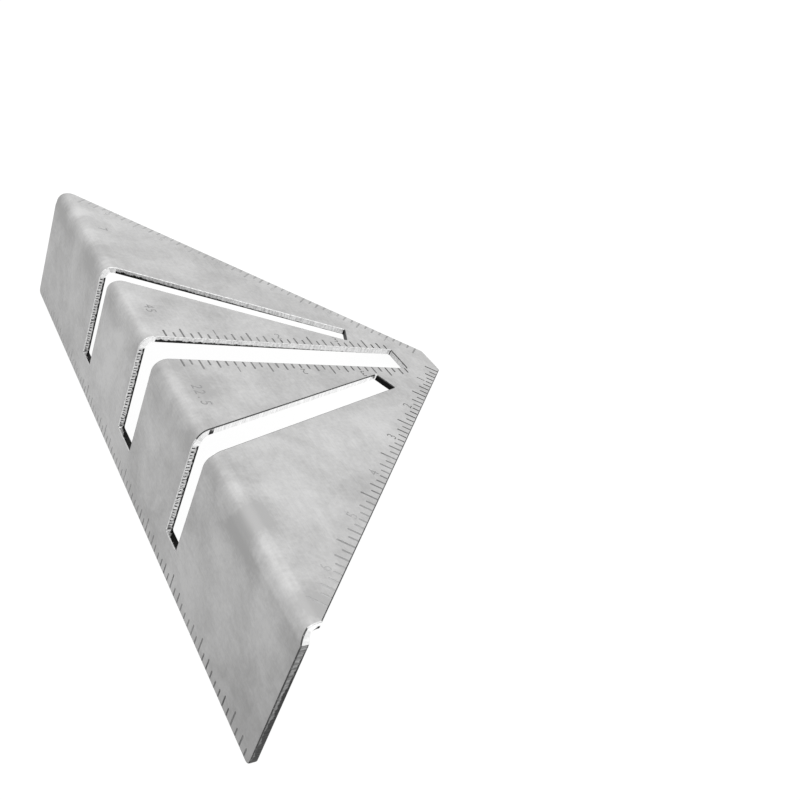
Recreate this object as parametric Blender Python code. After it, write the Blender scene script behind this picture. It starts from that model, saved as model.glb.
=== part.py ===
# Speed square: one steel blank with three slots, folded along its long edge into a triangular plate
# and a flange, with inch scales etched and blackened on its outer faces.
# Metres, +Z up. It stands like a tent on the flange's lower edge and the apex, the fold along X at the
# top, the flange towards -Y and the apex towards +Y. The origin is at the middle of the footprint.
import math

import bmesh
import bpy
from mathutils import Matrix, Vector

INCH = 0.0254
EIGHTH = INCH / 8

# Sheet and outline
LEG = 7 * INCH  # each short edge of the plate, up to the corner that the apex cut removes
FOLD_LENGTH = LEG * math.sqrt(2)
PLATE_HEIGHT = FOLD_LENGTH / 2  # from the flange's outer face to that corner
FLANGE_WIDTH = 0.050
THICKNESS = 0.0024
APEX_CUT = 0.0098  # taken off each leg
TIP_TRIM = 0.003  # how much shorter the flange is than the fold, at its +X end
CORNER_RADIUS = 0.002
CORNER_STEPS = 4

# Fold
BEND_RADIUS = 0.005  # outer
BEND_STEPS = 10
BEND_BLANK = math.pi / 2 * (BEND_RADIUS - THICKNESS / 2)  # width of the blank that becomes the bend
HALF_BEND = BEND_BLANK / 2
PLATE_SHIFT = BEND_RADIUS - HALF_BEND  # a blank point on the plate lies this much further from the flange

# Slots: rays from the apex to the middle of the bend, then straight down the flange
SIDE_SLOT_ANGLE = math.radians(22.5)
SIDE_SLOT_WIDTH = 0.0092
SIDE_SLOT_TIP = 0.043  # from the apex corner to the slot's end
MIDDLE_SLOT_WIDTH = 0.0136
MIDDLE_SLOT_TIP = 0.0232
SLOT_MARGIN = 0.0123  # from the slots' lower ends to the flange's edge

# Scales. Their marks are counted in eighths of an inch.
LEG_COUNTS = range(4, 53)
SLOT_COUNTS = range(2, 32)
FLANGE_COUNTS = range(1, 78)
TICK_WIDTH = 0.0007
HAIRLINE_WIDTH = 0.00015
EDGE_GAP = 0.0003  # from an edge to its ticks
TICK_LENGTHS = {8: 0.0026, 4: 0.0056, 2: 0.0042, 1: 0.0030}  # inch, half, quarter and eighth marks
NUMERAL_SIZE = 0.0048
NUMERAL_GAP = 0.0034  # from an edge to its numerals
LABELS = (("7", 0.037), ("45", 0.100), ("22.5", 0.153))  # and the middle of each, along the fold
LABEL_SIZE = 0.0052
LABEL_PITCH = 0.0029
LABEL_HEIGHT = 0.0070  # from the flange's outer face to their foot
MARK_THICKNESS = 0.00006
MARK_LIFT = 0.00004  # clear of the steel

APEX = Vector((FOLD_LENGTH / 2, PLATE_HEIGHT - PLATE_SHIFT))
FLANGE_EDGE = PLATE_SHIFT - FLANGE_WIDTH
FLANGE_END = FOLD_LENGTH - TIP_TRIM


def clear_scene():
    for item in list(bpy.data.objects):
        bpy.data.objects.remove(item, do_unlink=True)


def new_collection(name):
    collection = bpy.data.collections.new(name)
    bpy.context.scene.collection.children.link(collection)
    return collection


def make_material(name, colour, metallic, roughness):
    material = bpy.data.materials.new(name)
    material.use_nodes = True
    shader = material.node_tree.nodes["Principled BSDF"]
    shader.inputs["Base Color"].default_value = (*colour, 1.0)
    shader.inputs["Metallic"].default_value = metallic
    shader.inputs["Roughness"].default_value = roughness
    return material


def arc(centre, radius, start_degrees, end_degrees, steps):
    points = []
    for step in range(steps + 1):
        turn = math.radians(start_degrees + (end_degrees - start_degrees) * step / steps)
        points.append(Vector(centre) + radius * Vector((math.cos(turn), math.sin(turn))))
    return points


def blank_outline():
    # Counter-clockwise from the flange's corner at x = 0.
    low_y = FLANGE_EDGE + CORNER_RADIUS
    leg = Vector((1, -1)).normalized()
    tip = Vector((FOLD_LENGTH - BEND_RADIUS, HALF_BEND))
    return [
        *arc((CORNER_RADIUS, low_y), CORNER_RADIUS, 180, 270, CORNER_STEPS),
        *arc((FLANGE_END - CORNER_RADIUS, low_y), CORNER_RADIUS, 270, 360, CORNER_STEPS),
        Vector((FLANGE_END, -HALF_BEND)),
        Vector((tip.x, 0)),
        tip,
        APEX + APEX_CUT * leg,
        APEX - APEX_CUT * Vector((1, 1)).normalized(),
        Vector((BEND_RADIUS, HALF_BEND)),
        Vector((BEND_RADIUS / 2, 0)),
        Vector((0, -2 * HALF_BEND)),
    ]


def slot_outline(angle, width, tip_distance):
    # The ray leans by angle from square to the fold; its two sides mitre with the straight slot's sides.
    ray = Vector((math.sin(angle), -math.cos(angle)))
    side = Vector((math.cos(angle), math.sin(angle))) * width / 2
    tip = APEX + ray * tip_distance
    turn = Vector((APEX.x + APEX.y * math.tan(angle), 0))
    mitre = Vector((width / 2, width / 2 * math.tan(angle / 2)))
    low = Vector((turn.x, FLANGE_EDGE + SLOT_MARGIN))
    half = Vector((width / 2, 0))
    return [tip + side, tip - side, turn - mitre, low - half, low + half, turn + mitre]


def folded(point):
    # point is (along the fold, across the blank, height over the blank's outer face).
    x, across, height = point
    share = min(max((HALF_BEND - across) / BEND_BLANK, 0.0), 1.0)
    turn = share * math.pi / 2
    radius = BEND_RADIUS + height
    y = BEND_RADIUS - radius * math.sin(turn) + max(across - HALF_BEND, 0.0)
    z = -BEND_RADIUS + radius * math.cos(turn) + min(across + HALF_BEND, 0.0)
    return Vector((x, y, z))


def standing_matrix():
    # Leans the folded square until the flange's inner lower edge and the apex's inner edge are level.
    low_edge = Vector((0, THICKNESS, -FLANGE_WIDTH))
    apex_edge = Vector((0, PLATE_HEIGHT - APEX_CUT / math.sqrt(2), -THICKNESS))
    rise = apex_edge - low_edge
    lean = Matrix.Rotation(-math.atan2(rise.z, rise.y), 4, "X")
    outer_edge = lean @ Vector((0, 0, -FLANGE_WIDTH))
    apex_face = lean @ Vector((0, apex_edge.y, 0))
    middle = Vector((FLANGE_END / 2, (outer_edge.y + apex_face.y) / 2, (lean @ low_edge).z))
    return Matrix.Translation(-middle) @ lean


def fold_mesh(mesh):
    stand = standing_matrix()
    for vertex in mesh.vertices:
        vertex.co = stand @ folded(vertex.co)


def add_part(collection, name, bm, material):
    mesh = bpy.data.meshes.new(name)
    if bm.calc_volume(signed=True) < 0:
        bmesh.ops.reverse_faces(bm, faces=bm.faces)
    bm.to_mesh(mesh)
    bm.free()
    fold_mesh(mesh)
    mesh.materials.append(material)
    part = bpy.data.objects.new(name, mesh)
    collection.objects.link(part)
    return part


def curve_bmesh(curve):
    # A flat curve's solid, welded.
    guide = bpy.data.objects.new("guide", curve)
    bpy.context.scene.collection.objects.link(guide)
    seen = guide.evaluated_get(bpy.context.evaluated_depsgraph_get())
    mesh = bpy.data.meshes.new_from_object(seen)
    bm = bmesh.new()
    bm.from_mesh(mesh)
    bmesh.ops.remove_doubles(bm, verts=bm.verts, dist=0.000001)
    bpy.data.objects.remove(guide, do_unlink=True)
    bpy.data.curves.remove(curve)
    bpy.data.meshes.remove(mesh)
    return bm


def outline_bmesh(outlines, thickness):
    # A flat solid; the first outline is its edge and the others are holes in it.
    curve = bpy.data.curves.new("outline", "CURVE")
    curve.dimensions = "2D"
    curve.fill_mode = "BOTH"
    curve.extrude = thickness / 2
    for outline in outlines:
        spline = curve.splines.new("POLY")
        spline.points.add(len(outline) - 1)
        spline.use_cyclic_u = True
        for spot, point in zip(spline.points, outline):
            spot.co = (point.x, point.y, 0, 1)
    return curve_bmesh(curve)


def steel_blank():
    outlines = [
        blank_outline(),
        slot_outline(-SIDE_SLOT_ANGLE, SIDE_SLOT_WIDTH, SIDE_SLOT_TIP),
        slot_outline(0, MIDDLE_SLOT_WIDTH, MIDDLE_SLOT_TIP),
        slot_outline(SIDE_SLOT_ANGLE, SIDE_SLOT_WIDTH, SIDE_SLOT_TIP),
    ]
    bm = outline_bmesh(outlines, THICKNESS)
    bmesh.ops.translate(bm, verts=bm.verts, vec=(0, 0, -THICKNESS / 2))
    for step in range(BEND_STEPS + 1):
        across = -HALF_BEND + BEND_BLANK * step / BEND_STEPS
        everything = [*bm.verts, *bm.edges, *bm.faces]
        bmesh.ops.bisect_plane(bm, geom=everything, plane_co=(0, across, 0), plane_no=(0, 1, 0))
    return bm


def scale_frame(start, along, inward):
    # Its X axis runs along the scale and its Y axis away from the scale's edge, so it can be a mirror.
    frame = Matrix.Translation((start.x, start.y, MARK_LIFT + MARK_THICKNESS / 2))
    frame.col[0][:2] = along
    frame.col[1][:2] = inward
    return frame


def mark_bmesh(outline, place):
    bm = outline_bmesh([outline], MARK_THICKNESS)
    bm.transform(place)
    return bm


def tick_length(count):
    return next(length for step, length in TICK_LENGTHS.items() if count % step == 0)


def comb_outline(counts):
    # The ticks of one scale, joined along its edge by a hairline.
    half_tick = TICK_WIDTH / 2
    line_top = EDGE_GAP + HAIRLINE_WIDTH
    points = [
        Vector((counts[-1] * EIGHTH + half_tick, EDGE_GAP)),
        Vector((counts[0] * EIGHTH - half_tick, EDGE_GAP)),
    ]
    for count in counts:
        left = count * EIGHTH - half_tick
        right = count * EIGHTH + half_tick
        top = EDGE_GAP + tick_length(count)
        if count != counts[0]:
            points.append(Vector((left, line_top)))
        points.append(Vector((left, top)))
        points.append(Vector((right, top)))
        if count != counts[-1]:
            points.append(Vector((right, line_top)))
    return points


def numeral_bmesh(character, size, place):
    curve = bpy.data.curves.new("numeral", "FONT")
    curve.body = character
    curve.size = size
    curve.align_x = "CENTER"
    curve.extrude = MARK_THICKNESS / 2
    curve.resolution_u = 2
    bm = curve_bmesh(curve)
    bm.transform(place)
    return bm


def add_ticks(collection, name, frame, counts, material):
    # A tick for each eighth of an inch in counts.
    add_part(collection, f"{name}_ticks", mark_bmesh(comb_outline(counts), frame), material)


def add_numerals(collection, name, frame, counts, material):
    # A numeral past each inch tick. A mirrored frame would mirror the digits too, so there their own
    # X axis runs against it.
    flip = Matrix.Diagonal((math.copysign(1, frame.determinant()), 1, 1, 1))
    for inch in range(1, counts[-1] // 8 + 1):
        place = Matrix.Translation((inch * INCH, NUMERAL_GAP, 0))
        bm = numeral_bmesh(str(inch), NUMERAL_SIZE, frame @ place @ flip)
        add_part(collection, f"{name}_numeral_{inch}", bm, material)


def add_labels(collection, material):
    # The numbers in a row beside the fold, a character at a time.
    foot = LABEL_HEIGHT - PLATE_SHIFT
    for label, (words, x) in enumerate(LABELS, start=1):
        for spot, character in enumerate(words):
            shift = (spot - (len(words) - 1) / 2) * LABEL_PITCH
            place = Matrix.Translation((x + shift, foot, MARK_LIFT + MARK_THICKNESS / 2))
            bm = numeral_bmesh(character, LABEL_SIZE, place)
            add_part(collection, f"label_{label}_character_{spot + 1}", bm, material)


def build():
    clear_scene()
    square = new_collection("speed_square")
    steel = make_material("brushed_steel", (0.62, 0.62, 0.61), 1.0, 0.35)
    black = make_material("etched_black", (0.06, 0.06, 0.06), 0.0, 0.7)
    add_part(square, "folded_plate", steel_blank(), steel)

    down_right = Vector((1, -1)).normalized()
    down_left = Vector((-1, -1)).normalized()
    fence = Vector((APEX.x, THICKNESS - PLATE_SHIFT))  # the slot scales count from the flange's inner face
    half_slot = Vector((MIDDLE_SLOT_WIDTH / 2, 0))
    flange_corner = Vector((FLANGE_END, FLANGE_EDGE))
    up = Vector((0, 1))
    left = Vector((-1, 0))
    numbered_scales = {
        "right_edge": (scale_frame(APEX, down_right, down_left), LEG_COUNTS),
        "left_edge": (scale_frame(APEX, down_left, down_right), LEG_COUNTS),
        "slot_right": (scale_frame(fence + half_slot, up, -left), SLOT_COUNTS),
        "slot_left": (scale_frame(fence - half_slot, up, left), SLOT_COUNTS),
    }
    for name, (frame, counts) in numbered_scales.items():
        add_ticks(square, name, frame, counts, black)
        add_numerals(square, name, frame, counts, black)
    add_ticks(square, "flange_edge", scale_frame(flange_corner, left, up), FLANGE_COUNTS, black)
    add_labels(square, black)


build()
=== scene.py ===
import math

import bmesh
import bpy
from mathutils import Matrix, Vector


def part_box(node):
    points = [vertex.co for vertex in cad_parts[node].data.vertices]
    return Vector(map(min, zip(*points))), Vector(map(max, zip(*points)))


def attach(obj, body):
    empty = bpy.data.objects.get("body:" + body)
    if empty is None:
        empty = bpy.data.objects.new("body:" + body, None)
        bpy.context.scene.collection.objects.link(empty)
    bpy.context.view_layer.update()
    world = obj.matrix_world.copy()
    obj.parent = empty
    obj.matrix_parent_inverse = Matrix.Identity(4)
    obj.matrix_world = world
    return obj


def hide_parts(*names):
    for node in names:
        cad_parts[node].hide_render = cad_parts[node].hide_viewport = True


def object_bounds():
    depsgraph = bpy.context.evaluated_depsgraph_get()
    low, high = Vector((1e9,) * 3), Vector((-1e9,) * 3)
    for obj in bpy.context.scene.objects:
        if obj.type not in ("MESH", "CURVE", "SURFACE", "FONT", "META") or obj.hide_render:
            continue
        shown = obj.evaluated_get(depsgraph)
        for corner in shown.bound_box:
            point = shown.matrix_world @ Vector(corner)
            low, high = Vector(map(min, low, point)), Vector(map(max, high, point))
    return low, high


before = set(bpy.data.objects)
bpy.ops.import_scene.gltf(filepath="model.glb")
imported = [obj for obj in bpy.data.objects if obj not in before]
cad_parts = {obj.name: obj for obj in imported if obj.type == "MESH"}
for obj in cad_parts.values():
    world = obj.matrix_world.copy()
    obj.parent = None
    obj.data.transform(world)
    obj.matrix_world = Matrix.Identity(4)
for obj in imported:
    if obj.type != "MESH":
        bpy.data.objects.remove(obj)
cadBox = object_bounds()
print("frame loaded:", len(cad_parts), "nodes")


class Signal:  # one socket's output; arithmetic on it adds Math nodes
    def __init__(self, graph, socket):
        self.graph = graph
        self.socket = socket

    def math(self, operation, first, second):
        return self.graph.node("ShaderNodeMath", {"operation": operation}, {0: first, 1: second})

    def __add__(self, other):
        return self.math("ADD", self, other)

    def __radd__(self, other):
        return self.math("ADD", other, self)

    def __sub__(self, other):
        return self.math("SUBTRACT", self, other)

    def __rsub__(self, other):
        return self.math("SUBTRACT", other, self)

    def __mul__(self, other):
        return self.math("MULTIPLY", self, other)

    def __rmul__(self, other):
        return self.math("MULTIPLY", other, self)


class Graph:
    def __init__(self, tree):
        self.tree = tree

    def node(self, kind, settings=None, sockets=None, output=0):
        item = self.tree.nodes.new(kind)
        for name, value in (settings or {}).items():
            setattr(item, name, value)
        for name, value in (sockets or {}).items():
            self.feed(item.inputs[name], value)
        return Signal(self, item.outputs[output])

    def feed(self, socket, value):
        if isinstance(value, Signal):
            self.tree.links.new(value.socket, socket)
        else:
            socket.default_value = value

    def between(self, value, low, high, fromLow=0.0, fromHigh=1.0, curve="LINEAR"):
        return self.node("ShaderNodeMapRange", {"interpolation_type": curve}, {
            "Value": value, "From Min": fromLow, "From Max": fromHigh, "To Min": low, "To Max": high})

    def blend(self, share, first, second):
        settings = {"data_type": "RGBA", "clamp_factor": True}
        return self.node("ShaderNodeMix", settings, {0: share, 6: first, 7: second}, 2)


class Finish(Graph):
    def __init__(self, name, metallic):
        self.material = bpy.data.materials.new(name)
        self.material.use_nodes = True
        super().__init__(self.material.node_tree)
        self.shader = self.tree.nodes["Principled BSDF"]
        self.shader.inputs["Metallic"].default_value = metallic

    def sheetMap(self, scale=(1, 1, 1), shift=(0, 0, 0)):
        # The flat blank's own coordinates in metres, so a pattern runs round the bend with the metal.
        flat = self.node("ShaderNodeUVMap", {"uv_map": "sheet"})
        return self.node("ShaderNodeMapping", None, {"Vector": flat, "Scale": scale, "Location": shift})

    def objectMap(self):
        return self.node("ShaderNodeTexCoord", output=3)

    def axis(self, place, index):
        return self.node("ShaderNodeSeparateXYZ", None, {"Vector": place}, index)

    def attribute(self, name):
        return self.node("ShaderNodeAttribute", {"attribute_name": name}, output=2)

    def noise(self, place, scale=1.0, detail=2.0, roughness=0.5, distortion=0.0):
        sockets = {"Vector": place, "Scale": scale, "Detail": detail, "Roughness": roughness}
        return self.node("ShaderNodeTexNoise", None, {**sockets, "Distortion": distortion})

    def bump(self, height, strength, distance):
        sockets = {"Height": height, "Strength": strength, "Distance": distance}
        return self.node("ShaderNodeBump", None, sockets)

    def patch(self, place, spot, inner, outer):
        # One inside the inner distance from a spot on the blank, nought beyond the outer one.
        sockets = {0: place, 1: (spot[0], spot[1], 0)}
        away = self.node("ShaderNodeVectorMath", {"operation": "DISTANCE"}, sockets, 1)
        return self.between(away, 1.0, 0.0, inner, outer, "SMOOTHSTEP")

    def finishWith(self, sockets):
        for name, value in sockets.items():
            self.feed(self.shader.inputs[name], value)
        return self.material


def grey(level, warmth=0.0):
    return (level * (1 + warmth), level, level * (1 - warmth), 1.0)


inch = 0.0254
sheet = {
    "leg": 7 * inch,  # each short edge, up to the corner that the apex cut removes
    "flangeWidth": 0.050,
    "thickness": 0.0024,
    "bendRadius": 0.005,  # outer
    "bendSteps": 32,
    "apexCut": 0.0098,
    "tipTrim": 0.003,  # how much shorter the flange is than the fold
    "cornerRadius": 0.002,  # the flange's lower corners
    "endRadius": 0.0004,  # where the flange's end meets the bend
    "apexRadius": 0.0009,
    "rimRound": 0.0003,  # the deburred edge all round
    "seams": (0.0004, 0.0018),  # extra cross-cuts beyond the bend, where its bright walls (partly a painted highlight) and burnt walls (partly painted shade) end
    "sharpAngle": 14,
}
foldLength = sheet["leg"] * math.sqrt(2)
halfBend = math.pi / 4 * (sheet["bendRadius"] - sheet["thickness"] / 2)  # half its length on the flat blank
plateShift = sheet["bendRadius"] - halfBend  # how much further the plate and flange reach once it is bent
apex = Vector((foldLength / 2, foldLength / 2 - plateShift))
flangeEdge = plateShift - sheet["flangeWidth"]
flangeEnd = foldLength - sheet["tipTrim"]


slots = {
    # Degrees from the middle line, width, and how far the tip stays from the apex.
    "rays": ((-22.5, 0.0092, 0.043), (0, 0.0136, 0.0232), (22.5, 0.0092, 0.043)),
    "margin": 0.0123,  # from their lower ends to the flange's edge
    "endRadius": 0.0006,
}


def slotTurn(angle):
    return apex.x + apex.y * math.tan(angle)  # where a slot's middle line meets the fold


def folded(point):
    share = min(max((halfBend - point.y) / (2 * halfBend), 0.0), 1.0)
    turn = share * math.pi / 2
    radius = sheet["bendRadius"] + point.z
    y = sheet["bendRadius"] - radius * math.sin(turn) + max(point.y - halfBend, 0.0)
    z = -sheet["bendRadius"] + radius * math.cos(turn) + min(point.y + halfBend, 0.0)
    return Vector((point.x, y, z))


def standingMatrix():
    # Leans the sheet on the flange's inner lower edge and the apex's lower edge, over the CAD's footprint.
    lowEdge = Vector((0, sheet["thickness"], -sheet["flangeWidth"]))
    apexEdge = Vector((0, foldLength / 2 - sheet["apexCut"] / math.sqrt(2), -sheet["thickness"]))
    rise = apexEdge - lowEdge
    lean = Matrix.Rotation(-math.atan2(rise.z, rise.y), 4, "X")
    low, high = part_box("folded_plate")
    corner = Vector((0, (lean @ Vector((0, 0, -sheet["flangeWidth"]))).y, (lean @ lowEdge).z))
    return Matrix.Translation(low - corner) @ lean


def foldUp(bm):
    stand = standingMatrix()
    for vert in bm.verts:
        vert.co = stand @ folded(vert.co)


def isWall(face):
    return abs(face.normal.z) < 0.5


def mapSheet(bm):
    # Faces take the blank's coordinates; walls take the way along the rim and the depth into the sheet.
    layer = bm.loops.layers.uv.new("sheet")
    for face in bm.faces:
        normal = face.normal
        wall = isWall(face)
        along = Vector((-normal.y, normal.x, 0)).normalized()
        for loop in face.loops:
            place = loop.vert.co
            loop[layer].uv = (along.dot(place), place.z) if wall else (place.x, place.y)


def makePiece(name, bm, materials, nodes):
    mesh = bpy.data.meshes.new(name)
    bm.to_mesh(mesh)
    bm.free()
    mesh.shade_smooth()
    mesh.set_sharp_from_angle(angle=math.radians(sheet["sharpAngle"]))
    for material in materials:
        mesh.materials.append(material)
    piece = bpy.data.objects.new(name, mesh)
    bpy.context.scene.collection.objects.link(piece)
    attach(piece, "root")
    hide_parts(*nodes)
    print(name, len(mesh.polygons), "faces")
    return piece


def addLoop(bm, corners, radii, steps=6):
    # A flat outline whose corners are rounded by a vertex bevel; a radius is the cut along each side.
    verts = [bm.verts.new((x, y, 0)) for x, y in corners]
    bm.faces.new(verts)
    for radius in sorted(set(radii) - {0}):
        rounded = [vert for vert, own in zip(verts, radii) if own == radius]
        bmesh.ops.bevel(bm, geom=rounded, offset=radius, offset_type="OFFSET", segments=steps, profile=0.5,
                        affect="VERTICES", material=-1)


marks = {
    "tickWidth": 0.0007,
    "tickRounding": 0.4,  # of its width
    "tickLengths": {8: 0.0026, 4: 0.0056, 2: 0.0042, 1: 0.0030},
    "edgeGap": 0.0003,
    "numeralSize": 0.0048,
    "numeralGap": 0.0034,
    "labels": (("7", 0.037), ("45", 0.100), ("22.5", 0.153)),
    "labelSize": 0.0052,
    "labelPitch": 0.0029,
    "labelHeight": 0.0070,
    "depth": 0.00012,  # of the etched groove
    "fillTop": 0.00003,  # how far the dark layer lies below the face
    "fillGap": 0.00002,
    "cutHeight": 0.0002,  # how far a groove's cutter stands over the face
    "numeralWorn": 0.20,  # how much more worn the numerals are than the ticks beside them
    "labelWorn": 0.60,
}


def scaleFrame(start, along, inward):
    place = Matrix.Translation((start.x, start.y, 0))
    place.col[0][:2] = along
    place.col[1][:2] = inward
    return place


def tickLength(count):
    return next(length for step, length in marks["tickLengths"].items() if count % step == 0)


def append(bm, part):
    if part.calc_volume(signed=True) < 0:  # a mirrored frame turns a mark inside out
        bmesh.ops.reverse_faces(part, faces=part.faces)
    mesh = bpy.data.meshes.new("part")
    part.to_mesh(mesh)
    part.free()
    bm.from_mesh(mesh)
    bpy.data.meshes.remove(mesh)


def addTicks(bm, place, counts, low, high, shrink):
    width = marks["tickWidth"] - 2 * shrink
    for count in counts:
        length = tickLength(count)
        middle = Matrix.Translation((count * inch / 8, marks["edgeGap"] + length / 2, (low + high) / 2))
        size = Matrix.Diagonal((width, length - 2 * shrink, high - low, 1))
        tick = bmesh.new()
        bmesh.ops.create_cube(tick, size=1, matrix=size)
        upright = [edge for edge in tick.edges if edge.verts[0].co.z * edge.verts[1].co.z < 0]
        bmesh.ops.bevel(tick, geom=upright, offset=width * marks["tickRounding"], offset_type="OFFSET",
                        segments=2, profile=0.5, affect="EDGES", material=-1)
        tick.transform(place @ middle)
        append(bm, tick)


def addGlyph(bm, character, size, place, low, high, shrink):
    curve = bpy.data.curves.new("glyph", "FONT")
    curve.body = character
    curve.size = size
    curve.align_x = "CENTER"
    curve.extrude = (high - low) / 2
    curve.offset = -shrink
    curve.resolution_u = 4
    holder = bpy.data.objects.new("glyph", curve)
    bpy.context.scene.collection.objects.link(holder)
    seen = holder.evaluated_get(bpy.context.evaluated_depsgraph_get())
    mesh = bpy.data.meshes.new_from_object(seen)
    glyph = bmesh.new()
    glyph.from_mesh(mesh)
    bmesh.ops.remove_doubles(glyph, verts=glyph.verts, dist=1e-6)
    glyph.transform(place @ Matrix.Translation((0, 0, (low + high) / 2)))
    append(bm, glyph)
    bpy.data.objects.remove(holder)
    bpy.data.curves.remove(curve)
    bpy.data.meshes.remove(mesh)


downRight = Vector((1, -1)).normalized()
downLeft = Vector((-1, -1)).normalized()
up = Vector((0, 1))
left = Vector((-1, 0))
fence = Vector((apex.x, sheet["thickness"] - plateShift))  # where the slot's scales start
halfSlot = Vector((slots["rays"][1][1] / 2, 0))
flangeCorner = Vector((flangeEnd, flangeEdge))
scales = {  # node, frame, eighths, how worn at its start and its end, and whether it is numbered
    "rightEdge": ("right_edge", scaleFrame(apex, downRight, downLeft), range(4, 53), (-0.35, 0.95), True),
    "leftEdge": ("left_edge", scaleFrame(apex, downLeft, downRight), range(4, 53), (0.65, 0.90), True),
    "slotRight": ("slot_right", scaleFrame(fence + halfSlot, up, -left), range(2, 32), (0.48, 0.10), True),
    "slotLeft": ("slot_left", scaleFrame(fence - halfSlot, up, left), range(2, 32), (0.52, 0.12), True),
    "flangeEdge": ("flange_edge", scaleFrame(flangeCorner, left, up), range(1, 78), (0.22, 0.88), False),
}


def addNumerals(bm, place, counts, low, high, shrink):
    flip = Matrix.Diagonal((math.copysign(1, place.determinant()), 1, 1, 1))
    for number in range(1, counts[-1] // 8 + 1):
        spot = Matrix.Translation((number * inch, marks["numeralGap"], 0))
        addGlyph(bm, str(number), marks["numeralSize"], place @ spot @ flip, low, high, shrink)


def addLabels(bm, low, high, shrink):
    for words, x in marks["labels"]:
        for spot, character in enumerate(words):
            shift = (spot - (len(words) - 1) / 2) * marks["labelPitch"]
            place = Matrix.Translation((x + shift, marks["labelHeight"] - plateShift, 0))
            addGlyph(bm, character, marks["labelSize"], place, low, high, shrink)


steelLook = {
    "grain": (6, 520, 1),  # streaks run along the fold
    "fineGrain": (90, 2600, 1),
    "cloudScale": 34,
    "smudgeScale": 130,
    "speckScale": 700,
    "waveScale": 14,  # the sheet isn't quite flat
    "cloudShare": 0.48,  # of the unevenness in its tone
    "smudgeShare": 0.21,
    "grainShare": 0.11,
    "speckShare": 0.20,
    "contrast": (0.38, 0.62),  # the levels that get the darkest and the lightest tone
    "tone": (0.50, 0.72),
    "rough": (0.48, 0.34),
    "bendShade": 0.06,  # painted shade: how much darker the steel is drawn in a band beside the bend
    "bendShadeFrom": (-0.013, -0.005),  # across the blank: where the painted shade band starts, and where it ends
    "bendShadeTo": (-0.0035, -0.001),
    "haze": 0.06,  # how much darker it is round the labels
    "hazeReach": (0.002, 0.012),  # from a label's middle: full, then none
    "dent": 0.0004,
    # Tone spots: partly the steel's own mottle, partly painted highlight and painted shade on the bend (the
    # spots whose y is near nought).
    "stainsAndBendSheen": (  # set from measured tones: place on the blank, reach, how much lighter it is there
        (0.014, -0.025, 0.014, -0.08),
        (0.022, 0.000, 0.008, 0.10),
        (0.025, -0.009, 0.015, -0.09),
        (0.042, 0.001, 0.011, 0.10),
        (0.075, 0.047, 0.016, -0.07),
        (0.093, 0.015, 0.009, -0.09),
        (0.095, 0.002, 0.010, 0.10),
        (0.098, -0.022, 0.020, 0.17),
        (0.103, -0.007, 0.012, 0.13),
        (0.135, 0.003, 0.008, -0.15),
        (0.141, -0.009, 0.013, -0.08),
        (0.146, 0.009, 0.014, -0.17),
        (0.170, 0.003, 0.012, -0.12),
        (0.177, 0.041, 0.022, 0.09),
        (0.190, 0.002, 0.011, -0.14),
        (0.192, -0.038, 0.020, 0.10),
        (0.196, -0.008, 0.016, 0.10),
        (0.205, 0.033, 0.018, -0.05),
        (0.208, 0.002, 0.012, -0.15),
        (0.234, -0.009, 0.016, 0.11),
        (0.240, 0.005, 0.009, -0.19),
        (0.245, -0.039, 0.018, -0.08),
    ),
}


def steelFace():
    look = steelLook
    finish = Finish("steelFace", 1.0)
    streaks = finish.noise(finish.sheetMap(look["grain"]), 4.0, 4.0, 0.6)
    fine = finish.noise(finish.sheetMap(look["fineGrain"]), 1.0, 2.0, 0.6)
    clouds = finish.noise(finish.sheetMap(shift=(0.31, 0.12, 0)), look["cloudScale"], 6.0, 0.62, 0.6)
    smudges = finish.noise(finish.sheetMap(shift=(0.05, 0.4, 0)), look["smudgeScale"], 3.0, 0.6, 0.8)
    specks = finish.noise(finish.sheetMap(), look["speckScale"], 2.0, 0.7)
    wave = finish.noise(finish.sheetMap(shift=(0.2, 0, 0)), look["waveScale"], 1.0, 0.4)
    flat = finish.sheetMap()
    across = finish.axis(flat, 1)
    # Painted shade: a darker band across the blank, mostly on the flange beside the bend.
    bendShade = (finish.between(across, 0.0, 1.0, *look["bendShadeFrom"], "SMOOTHSTEP")
              * finish.between(across, 1.0, 0.0, *look["bendShadeTo"], "SMOOTHSTEP"))
    level = (look["cloudShare"] * clouds + look["smudgeShare"] * smudges + look["grainShare"] * streaks
             + look["speckShare"] * specks - look["bendShade"] * bendShade)
    for words, x in marks["labels"]:
        spot = (x, marks["labelHeight"] - plateShift + marks["labelSize"] / 3)
        level = level - look["haze"] * finish.patch(flat, spot, *look["hazeReach"])
    # Painted highlight and painted shade on the bend, mottled tone elsewhere.
    for x, y, reach, change in look["stainsAndBendSheen"]:
        level = level + change * finish.patch(flat, (x, y), 0.0, reach)
    share = finish.between(level, 0.0, 1.0, *look["contrast"])
    colour = finish.blend(share, grey(look["tone"][0], 0.004), grey(look["tone"][1], 0.002))
    worn = 0.5 * streaks + 0.3 * clouds + 0.2 * fine
    roughness = finish.between(worn, *look["rough"], 0.3, 0.7)
    height = 0.9 * wave + 0.06 * smudges + 0.02 * streaks + 0.006 * fine
    return finish.finishWith({
        "Base Color": colour, "Roughness": roughness, "Normal": finish.bump(height, 1.0, look["dent"])})


cutLook = {
    "striae": (1150, 60, 1),
    "patchScale": 560,
    "teeth": 273,  # waves of 1.15 mm along the edge
    "tone": (0.26, 0.72),
    "bareAndSheen": (0.82, 0.98),  # where the cut is clean and bright, partly a painted highlight
    "scaled": (0.10, 0.24),  # where it kept its scale
    "notch": 0.05,  # between the teeth
    "black": 0.012,  # where it is burnt, partly painted shade
    "rough": (0.46, 0.28),
    "ribHeight": 0.0002,
}


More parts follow.
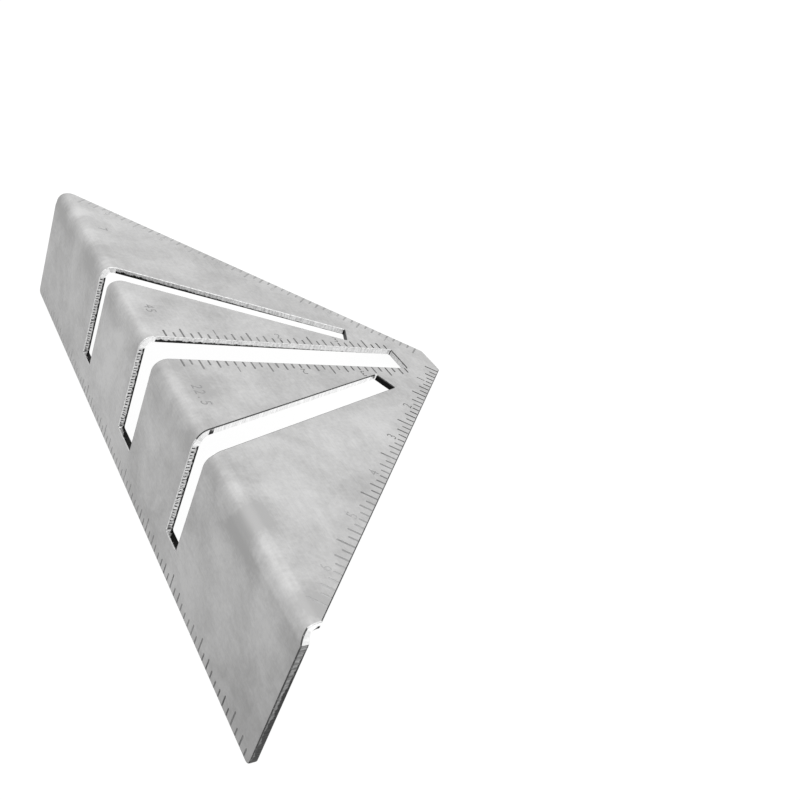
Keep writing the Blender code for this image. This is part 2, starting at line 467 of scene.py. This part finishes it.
def cutEdge():
    # Laser-cut walls: striae across the sheet, black from the inner face (a burn that is partly painted
    # shade), clean metal elsewhere (partly a painted highlight).
    look = cutLook
    finish = Finish("cutEdge", 1.0)
    flat = finish.sheetMap()
    striae = finish.noise(finish.sheetMap(look["striae"]), 1.0, 2.0, 0.6)
    patches = finish.noise(flat, look["patchScale"], 4.0, 0.7)
    teeth = finish.node("ShaderNodeTexWave", {"bands_direction": "X"}, {
        "Vector": flat, "Scale": look["teeth"], "Distortion": 6.0, "Detail": 3.0, "Detail Scale": 1.5})
    depth = finish.axis(flat, 1) * (-1 / sheet["thickness"])
    burntAndShade = finish.attribute("burntAndShade")
    bareAndSheen = finish.attribute("bareAndSheen")
    toothed = finish.attribute("toothed")
    scaled = finish.attribute("scaled")
    ribs = finish.between(0.6 * striae + 0.4 * patches, 0.0, 1.0, 0.40, 0.60)
    worked = finish.blend(ribs, grey(look["tone"][0]), grey(look["tone"][1]))
    cleanSheen = finish.blend(ribs, grey(look["bareAndSheen"][0]), grey(look["bareAndSheen"][1]))
    metal = finish.blend(bareAndSheen, worked, cleanSheen)
    crust = finish.blend(ribs, grey(look["scaled"][0]), grey(look["scaled"][1]))
    metal = finish.blend(scaled, metal, crust)
    outward = finish.between(depth + 0.5 * striae, 1.0, 0.0, 0.65, 0.95)  # teeth stop before the inner face
    notch = finish.between(teeth + 0.9 * (patches - 0.5), 0.0, 1.0, 0.60, 0.80) * outward
    metal = finish.blend(toothed * notch, metal, grey(look["notch"]))
    ragged = (0.3 + 1.6 * burntAndShade) * (patches - 0.5)  # the deeper the burn and painted shade, the more ragged that edge
    # Painted shade: black rises from the inner face of each wall, higher where its burnt state is larger.
    edge = depth + burntAndShade + ragged + 0.16 * (striae - 0.5)
    black = finish.between(edge, 0.0, 1.0, 0.96, 1.10) * finish.between(burntAndShade, 0.0, 1.0, 0.02, 0.10)
    colour = finish.blend(black, metal, grey(look["black"]))
    return finish.finishWith({
        "Base Color": colour, "Roughness": finish.between(ribs, *look["rough"]),
        "Normal": finish.bump(striae, 0.5, look["ribHeight"])})


def rimLine():
    # The deburred rim: a painted highlight on the sides that face one way, painted shade, dark, on the
    # others.
    look = {"shaded": 0.08, "bright": 0.80, "nickScale": 900, "nickDepth": 0.0001, "rough": (0.42, 0.24)}
    finish = Finish("rimLine", 1.0)
    nicks = finish.noise(finish.sheetMap(), look["nickScale"], 3.0, 0.65)
    share = finish.attribute("bareAndSheen") + 2.2 * (nicks - 0.56)
    return finish.finishWith({
        "Base Color": finish.blend(share, grey(look["shaded"]), grey(look["bright"])),
        "Roughness": finish.between(nicks, *look["rough"]),
        "Normal": finish.bump(nicks, 0.3, look["nickDepth"])})


def etchedDark():
    look = {"fresh": 0.035, "faded": 0.46, "grainScale": 1500, "patchScale": 70, "pits": 0.00005}
    finish = Finish("etchedDark", 0.2)
    place = finish.objectMap()
    grains = finish.noise(place, look["grainScale"], 3.0, 0.7)
    patches = finish.noise(place, look["patchScale"], 3.0, 0.6)
    share = finish.attribute("worn") + 1.1 * (patches - 0.5) + 0.5 * (grains - 0.5)
    colour = finish.blend(share, grey(look["fresh"]), grey(look["faded"]))
    roughness = finish.between(grains, 0.6, 0.85)
    return finish.finishWith({
        "Base Color": colour, "Roughness": roughness, "Normal": finish.bump(grains, 0.4, look["pits"])})


def paleFloor():
    finish = Finish("paleFloor", 0.0)
    mottle = finish.noise(finish.objectMap(), 3.0, 2.0, 0.5)
    return finish.finishWith({
        "Base Color": finish.blend(mottle, grey(0.09), grey(0.10)), "Roughness": 0.9,
        "Specular IOR Level": 0.1, "Emission Color": grey(1.0), "Emission Strength": 0.94})


def addSlot(bm, angle, width, tip):
    # Along its ray from near the apex down to the fold, where it is mitred, then square down the flange.
    ray = Vector((math.sin(angle), -math.cos(angle)))
    side = Vector((math.cos(angle), math.sin(angle))) * width / 2
    end = apex + ray * tip
    turn = Vector((slotTurn(angle), 0))
    mitre = Vector((width / 2, width / 2 * math.tan(angle / 2)))
    low = Vector((turn.x, flangeEdge + slots["margin"]))
    half = Vector((width / 2, 0))
    corners = [end + side, end - side, turn - mitre, low - half, low + half, turn + mitre]
    radius = slots["endRadius"]
    addLoop(bm, corners, [radius, radius, 0, radius, radius, 0], 4)


def flatBlank():
    bm = bmesh.new()
    corner = sheet["cornerRadius"]
    bend = sheet["bendRadius"]
    cut = sheet["apexCut"]
    outline = [  # anticlockwise from the flange's lower left corner, each with its corner's radius
        ((0, flangeEdge), corner),
        ((flangeEnd, flangeEdge), corner),
        ((flangeEnd, -halfBend), sheet["endRadius"]),
        ((foldLength - bend, 0), 0),
        ((foldLength - bend, halfBend), 0),
        (apex + cut * downRight, sheet["apexRadius"]),
        (apex + cut * downLeft, sheet["apexRadius"]),
        ((bend, halfBend), 0),
        ((bend / 2, 0), 0),
        ((0, -2 * halfBend), 0),
    ]
    addLoop(bm, [spot for spot, radius in outline], [radius for spot, radius in outline])
    for lean, width, tip in slots["rays"]:
        addSlot(bm, math.radians(lean), width, tip)
    bmesh.ops.delete(bm, geom=bm.faces[:], context="FACES_ONLY")
    bmesh.ops.triangle_fill(bm, use_beauty=True, edges=bm.edges[:])
    made = bmesh.ops.extrude_face_region(bm, geom=bm.faces[:])["geom"]
    lower = [item for item in made if isinstance(item, bmesh.types.BMVert)]
    bmesh.ops.translate(bm, verts=lower, vec=(0, 0, -sheet["thickness"]))
    if bm.calc_volume(signed=True) < 0:
        bmesh.ops.reverse_faces(bm, faces=bm.faces)
    rims = [edge for edge in bm.edges
            if edge.calc_face_angle(0) > 1 and abs(edge.verts[0].co.z - edge.verts[1].co.z) < 1e-6]
    bmesh.ops.bevel(bm, geom=rims, offset=sheet["rimRound"], offset_type="OFFSET", segments=3, profile=0.5,
                    affect="EDGES", material=-1)
    return bm


cutState = {  # how burnt (partly painted shade), bare (partly a painted highlight), toothed and scaled each kind of cut wall is
    "leftNear": (0.50, 0.15, 0.0, 0.0),  # the plate's slots: near the fold, then near the tip
    "leftFar": (0.10, 0.50, 0.0, 0.0),
    "middleNear": (0.52, 0.45, 0.0, 0.0),
    "middleFar": (0.04, 0.60, 0.0, 0.0),
    "rightNear": (0.0, 0.85, 0.0, 0.0),
    "rightFar": (0.0, 1.0, 0.0, 0.0),
    "foldCorner": (0.8, 0.0, 0.0, 0.0),
    "leftTip": (1.4, 0.0, 0.0, 0.0),
    "middleTip": (0.08, 0.8, 0.0, 0.0),
    "rightTip": (1.4, 0.0, 0.0, 0.0),
    "bend": (0.0, 1.0, 0.0, 0.0),
    "bendEnd": (0.50, 1.0, 0.0, 0.0),  # at the sheet's right-hand end, above
    "flange": (0.36, 0.45, 1.0, 0.0),
    "lowLeft": (0.50, 1.0, 0.0, 0.0),
    "lowRight": (1.5, 0.0, 0.0, 1.0),
    "endTop": (0.20, 0.0, 0.0, 0.80),  # the flange's end: from the bend down to the corner
    "endLow": (1.05, 0.0, 0.0, 1.0),
    "outline": (0.0, 0.3, 0.0, 0.0),
}


cutPlaces = {
    "endReach": 0.003,  # how near the flange's end a wall counts as its end
    "sideLean": 11,  # degrees from the middle line, seen from the apex, past which a wall is a side slot's
    "outlineLean": 34,  # and past which it is the outline
    "lowReach": 0.003,  # half the width over which a slot's lower end turns from bare to burnt
    "fade": 0.075,  # how far up the plate a slot's walls turn from their near to their far state
    "highlightWay": (0.92, -0.38),  # the way that the rims with a painted highlight face, across the blank
    "facing": 0.8,  # how squarely a wall or rim has to face a way
    "lowFacing": 0.6,  # the same for the wall at a slot's lower end
}


def mixState(first, second, share):
    share = min(max(share, 0.0), 1.0)
    return [a + (b - a) * share for a, b in zip(cutState[first], cutState[second])]


def wallState(normal, middle, place):
    # How a cut wall looks at a place on the blank: by slot, by side, and along it, with its painted shade
    # and painted highlight.
    lean = math.degrees(math.atan((middle.x - apex.x) / (apex.y - max(middle.y, 0.0))))
    atEnd = middle.x > flangeEnd - cutPlaces["endReach"]
    if abs(middle.y) < halfBend:
        return mixState("bendEnd", "bend", 1 - place.y / halfBend) if atEnd else cutState["bend"]
    if atEnd and middle.y < 0:
        return mixState("endTop", "endLow", (place.y + halfBend) / (flangeEdge + halfBend))
    if abs(lean) > cutPlaces["outlineLean"] or middle.y < flangeEdge + slots["margin"] / 2:
        return cutState["outline"]
    side = (lean > -cutPlaces["sideLean"]) + (lean > cutPlaces["sideLean"])
    if middle.y < 0 and normal.y < cutPlaces["lowFacing"]:
        return cutState["flange"]
    if middle.y < 0:
        offset = place.x - slotTurn(math.radians(slots["rays"][side][0]))
        return mixState("lowLeft", "lowRight", 0.5 + offset / (2 * cutPlaces["lowReach"]))
    name = ("left", "middle", "right")[side]
    if normal.y < -cutPlaces["facing"]:
        return cutState[name + "Tip"]
    if name == "right" and middle.y < halfBend + sheet["seams"][1]:
        return cutState["foldCorner"]
    return mixState(name + "Near", name + "Far", place.y / cutPlaces["fade"])


def rimState(normal, middle):
    # A painted highlight on the rims of the slots' left-hand walls and lower ends, and of the bend's right
    # end; painted shade on the rest.
    across = normal.to_2d().normalized()
    atEnd = middle.x > flangeEnd - cutPlaces["endReach"]
    highlighted = across.dot(Vector(cutPlaces["highlightWay"])) > cutPlaces["facing"] and not atEnd
    lowEnd = across.y > cutPlaces["facing"] and flangeEdge + slots["margin"] / 2 < middle.y < -halfBend
    bendEnd = atEnd and 0 < middle.y < halfBend
    return 1.0 if highlighted or lowEnd or bendEnd else 0.0


def markWalls(bm):
    # Walls are material 1, deburred rims 2 and faces 0; the materials read a wall's state as attributes.
    layers = [bm.loops.layers.float.new(name) for name in ("burntAndShade", "bareAndSheen", "toothed", "scaled")]
    for face in bm.faces:
        middle = face.calc_center_median()
        isCut = isWall(face) and middle.z < -sheet["rimRound"]
        isRim = middle.z > -sheet["rimRound"] and 0.02 < face.normal.z < 0.99
        face.material_index = 1 if isCut else 2 if isRim else 0
        for loop in face.loops:
            values = wallState(face.normal, middle, loop.vert.co) if isCut else (0, 0, 0, 0)
            if isRim:
                values = (0, rimState(face.normal, middle), 0, 0)
            for layer, value in zip(layers, values):
                loop[layer] = value


def carvedSheet(cutters):
    # The flat sheet less its etched grooves, with a cross-cut at each step of the bend.
    objects = []
    for name, bm in (("blank", flatBlank()), ("cutters", cutters)):
        mesh = bpy.data.meshes.new(name)
        bm.to_mesh(mesh)
        bm.free()
        holder = bpy.data.objects.new(name, mesh)
        bpy.context.scene.collection.objects.link(holder)
        objects.append(holder)
    carve = objects[0].modifiers.new("carve", "BOOLEAN")
    carve.operation = "DIFFERENCE"
    carve.solver = "EXACT"
    carve.object = objects[1]
    seen = objects[0].evaluated_get(bpy.context.evaluated_depsgraph_get())
    mesh = bpy.data.meshes.new_from_object(seen)
    bm = bmesh.new()
    bm.from_mesh(mesh)
    bpy.data.meshes.remove(mesh)
    for holder in objects:
        bpy.data.objects.remove(holder)
    bmesh.ops.remove_doubles(bm, verts=bm.verts, dist=1e-6)
    lines = [-halfBend + 2 * halfBend * step / sheet["bendSteps"] for step in range(sheet["bendSteps"] + 1)]
    near, far = sheet["seams"]
    for across in [-halfBend - near, *lines, halfBend + near, halfBend + far]:
        everything = [*bm.verts, *bm.edges, *bm.faces]
        bmesh.ops.bisect_plane(bm, geom=everything, dist=1e-7, plane_co=(0, across, 0), plane_no=(0, 1, 0))
    bmesh.ops.triangulate(bm, faces=bm.faces[:])
    print("grooves cut,", len(bm.faces), "faces")
    return bm


def buildSteel(cutters):
    bm = carvedSheet(cutters)
    mapSheet(bm)
    markWalls(bm)
    foldUp(bm)
    return makePiece("foldedSheet", bm, [steelFace(), cutEdge(), rimLine()], ["folded_plate"])


def markPiece(name, nodes, wear, material, add):
    # One set of dark marks, and the same shapes a little larger and taller for cutting its grooves.
    cutter = bmesh.new()
    add(cutter, -marks["depth"], marks["cutHeight"], 0)
    fill = bmesh.new()
    add(fill, marks["fillGap"] / 2 - marks["depth"], -marks["fillTop"], marks["fillGap"])
    layer = fill.verts.layers.float.new("worn")
    for vert in fill.verts:
        vert[layer] = wear(vert.co)
    foldUp(fill)
    makePiece(name, fill, [material], nodes)
    return cutter


def nodesNamed(start):
    return [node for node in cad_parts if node.startswith(start)]


def buildScale(name, dark, cutters):
    node, place, counts, worn, numbered = scales[name]

    def tickWear(spot):
        share = (place.inverted() @ spot).x / (counts[-1] * inch / 8)
        return worn[0] + (worn[1] - worn[0]) * share

    def numeralWear(spot):
        return tickWear(spot) + marks["numeralWorn"]

    def ticks(bm, low, high, shrink):
        addTicks(bm, place, counts, low, high, shrink)

    def numerals(bm, low, high, shrink):
        addNumerals(bm, place, counts, low, high, shrink)

    append(cutters, markPiece(name + "Ticks", [node + "_ticks"], tickWear, dark, ticks))
    if numbered:
        nodes = nodesNamed(node + "_numeral")
        append(cutters, markPiece(name + "Numerals", nodes, numeralWear, dark, numerals))


def buildMarks():
    dark = etchedDark()
    cutters = bmesh.new()
    for name in scales:
        buildScale(name, dark, cutters)

    def labelWear(spot):
        return marks["labelWorn"]

    append(cutters, markPiece("foldLabels", nodesNamed("label_"), labelWear, dark, addLabels))
    return cutters


buildSteel(buildMarks())

studio = {
    "front": 0.72,  # the surroundings' brightness before the fence and behind the apex
    "back": 0.91,
    "fades": {  # the axis, where it starts, where it is full, and its strength
        "behind": (1, -0.50, -0.12, 1.0),
        "top": (2, 0.42, 0.74, 0.22),  # added overhead
        "side": (0, -0.05, 0.35, 0.30),  # added at the right
        "far": (0, -0.80, -0.92, 0.10),  # taken from the front at the far left
        "foot": (2, -0.47, -0.60, 0.42),  # taken from the front low down
        "under": (2, 0.05, -0.35, 0.40),  # the back's share that is lost below the horizon,
        "lowest": (2, -0.50, -0.70, 1.0),  # but not at the lowest
    },
    "floorSize": 4,
    "floorGap": 0.0001,
    "lights": {  # place, where it points, size, power
        "overhead": ((0.9, -0.5, 1.1), (0, 0, 0), 2.0, 3),
    },
    "cameraPlace": (0.2306, -0.0870, 0.2138),
    "cameraForward": (-0.6527, 0.3921, -0.6483),
    "cameraUp": (-0.5748, 0.3014, 0.7608),
    "lens": 38,
}


def buildFloor():
    bm = bmesh.new()
    bmesh.ops.create_grid(bm, x_segments=8, y_segments=8, size=studio["floorSize"])
    bmesh.ops.translate(bm, verts=bm.verts, vec=(0, 0, cadBox[0][2] - studio["floorGap"]))
    mesh = bpy.data.meshes.new("floor")
    bm.to_mesh(mesh)
    bm.free()
    mesh.materials.append(paleFloor())
    floor = bpy.data.objects.new("floor", mesh)
    bpy.context.scene.collection.objects.link(floor)
    floor.visible_glossy = False  # the metal mirrors the studio, not the white sheet below it


def buildSurroundings():
    world = bpy.data.worlds.new("studio")
    world.use_nodes = True
    sky = Graph(world.node_tree)
    way = sky.node("ShaderNodeTexCoord")
    fades = {}
    for name, (axis, start, full, strength) in studio["fades"].items():
        along = sky.node("ShaderNodeSeparateXYZ", None, {"Vector": way}, axis)
        low, high = sorted((start, full))
        ends = (0.0, strength) if full == high else (strength, 0.0)
        fades[name] = sky.between(along, *ends, low, high, "SMOOTHSTEP")
    front = studio["front"] - fades["foot"] - fades["far"]
    back = studio["back"] * (1 - fades["under"] * (1 - fades["lowest"]))
    level = front + fades["behind"] * (back - front) + fades["top"] + fades["side"]
    seen = sky.node("ShaderNodeLightPath")  # the backdrop beyond the floor is as white as the floor
    background = world.node_tree.nodes["Background"]
    sky.feed(background.inputs["Strength"], level + seen * (1 - level))
    background.inputs["Color"].default_value = grey(1.0)
    bpy.context.scene.world = world


def buildLights():
    for name, (place, target, size, power) in studio["lights"].items():
        lamp = bpy.data.lights.new(name, "AREA")
        lamp.size = size
        lamp.energy = power
        holder = bpy.data.objects.new(name, lamp)
        holder.location = place
        holder.rotation_euler = (Vector(target) - Vector(place)).to_track_quat("-Z", "Y").to_euler()
        bpy.context.scene.collection.objects.link(holder)


def buildCamera():
    camera = bpy.data.cameras.new("camera")
    camera.lens = studio["lens"]
    camera.clip_start = 0.01
    holder = bpy.data.objects.new("camera", camera)
    forward = Vector(studio["cameraForward"]).normalized()
    right = forward.cross(Vector(studio["cameraUp"])).normalized()
    turned = Matrix((right, right.cross(forward), -forward)).transposed().to_4x4()
    holder.matrix_world = Matrix.Translation(studio["cameraPlace"]) @ turned
    bpy.context.scene.collection.objects.link(holder)
    bpy.context.scene.camera = holder
    bpy.context.scene.view_settings.view_transform = "Standard"


buildFloor()
buildSurroundings()
buildLights()
buildCamera()
print("studio ready")
